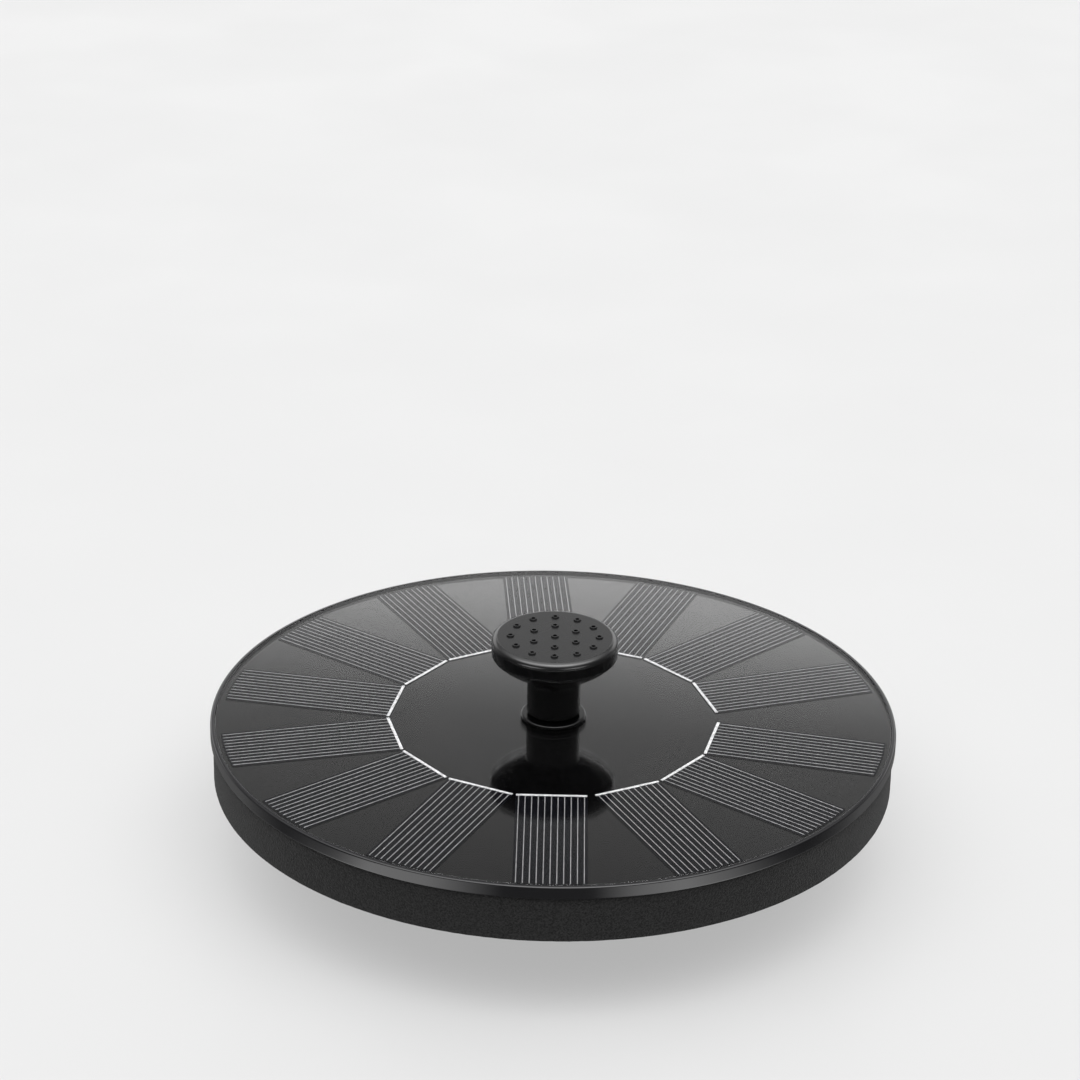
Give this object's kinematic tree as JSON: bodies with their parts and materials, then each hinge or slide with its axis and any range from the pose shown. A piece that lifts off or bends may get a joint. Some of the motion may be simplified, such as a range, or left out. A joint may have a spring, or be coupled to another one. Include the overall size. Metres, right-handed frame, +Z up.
{
  "type": "solar fountain pump",
  "caption": "Round floating solar panel on a foam ring, with a small submersible pump underneath and a flared spray nozzle standing in the middle.",
  "frame": {"origin": "under the middle of the disc, on the plane of the pump's flat foot", "axes": "+Z up through the spray head, +Y towards the pump's potted rear end, -Y is the front with the filter cover"},
  "size_m": [0.16, 0.16, 0.0558],
  "materials": {
    "tray_plastic": "semi-gloss black moulding",
    "board_laminate": "dark laminate",
    "clear_cover": "clear gloss",
    "float_foam": "fine-grained closed-cell foam",
    "head_plastic": "gloss black",
    "plate_plastic": "satin dark grey",
    "pump_plastic": "satin black",
    "filter_plastic": "satin black",
    "seal_rubber": "matte black",
    "bush_rubber": "matte black",
    "screw_steel": "plain stainless",
    "sponge": "open-cell sponge",
    "impeller_plastic": "off-white",
    "ferrite": "dark sintered magnet",
    "graphite": "grey-black",
    "shaft_ceramic": "polished white",
    "lamination_steel": "stacked sheet edges",
    "copper_winding": "enamelled copper",
    "circuit_laminate": "green solder mask",
    "component_plastic": "moulded black",
    "potting_resin": "poured black resin",
    "wire_insulation": "black insulation",
    "ribbon_silver": "tinned ribbon",
    "solar_cell": "near-black silicon"
  },
  "bodies": {
    "float": {"panel_tray": "tray_plastic", "panel_board": "board_laminate", "panel_cover": "clear_cover", "foam_ring": "float_foam", "centre_collar": "head_plastic", "neck_gasket": "seal_rubber", "pump_body": "pump_plastic", "chamber_cover": "pump_plastic", "chamber_seal": "seal_rubber", "pump_screws": "screw_steel", "shaft": "shaft_ceramic", "front_bush": "bush_rubber", "rear_bush": "bush_rubber", "stator_core": "lamination_steel", "stator_coils": "copper_winding", "driver_board": "circuit_laminate", "hall_sensor": "component_plastic", "board_parts": "component_plastic", "potting_plug": "potting_resin", "lead_wires": "wire_insulation", "bus_ribbons": "ribbon_silver", "solar_cell_01": "solar_cell", "solar_cell_02": "solar_cell", "solar_cell_03": "solar_cell", "solar_cell_04": "solar_cell", "solar_cell_05": "solar_cell", "solar_cell_06": "solar_cell", "solar_cell_07": "solar_cell", "solar_cell_08": "solar_cell", "solar_cell_09": "solar_cell", "solar_cell_10": "solar_cell", "solar_cell_11": "solar_cell", "solar_cell_12": "solar_cell", "solar_cell_13": "solar_cell", "solar_cell_14": "solar_cell"},
    "rotor": {"impeller": "impeller_plastic", "rotor_magnet": "ferrite", "rotor_bush": "graphite"},
    "filter": {"filter_cover": "filter_plastic", "filter_sponge": "sponge"},
    "seal": {"nozzle_seal": "seal_rubber"},
    "nozzle": {"nozzle_bell": "head_plastic"},
    "plate": {"spray_plate": "plate_plastic"}
  },
  "joints": [
    {"name": "rotor_spin", "type": "hinge", "parent": "float", "child": "rotor", "pos_m": [0, 0, 0.0145], "axis": [0, 1, 0], "continuous": true},
    {"name": "filter_pull", "type": "slide", "parent": "float", "child": "filter", "axis": [0, -1, 0], "range_m": [0, 0.012]},
    {"name": "nozzle_pull", "type": "slide", "parent": "float", "child": "seal", "axis": [0, 0, 1], "range_m": [0, 0.012]},
    {"name": "nozzle_turn", "type": "hinge", "parent": "seal", "child": "nozzle", "pos_m": [0, 0, 0.04], "axis": [0, 0, 1], "continuous": true},
    {"name": "plate_lift", "type": "slide", "parent": "nozzle", "child": "plate", "axis": [0, 0, 1], "range_m": [0, 0.004]}
  ]
}
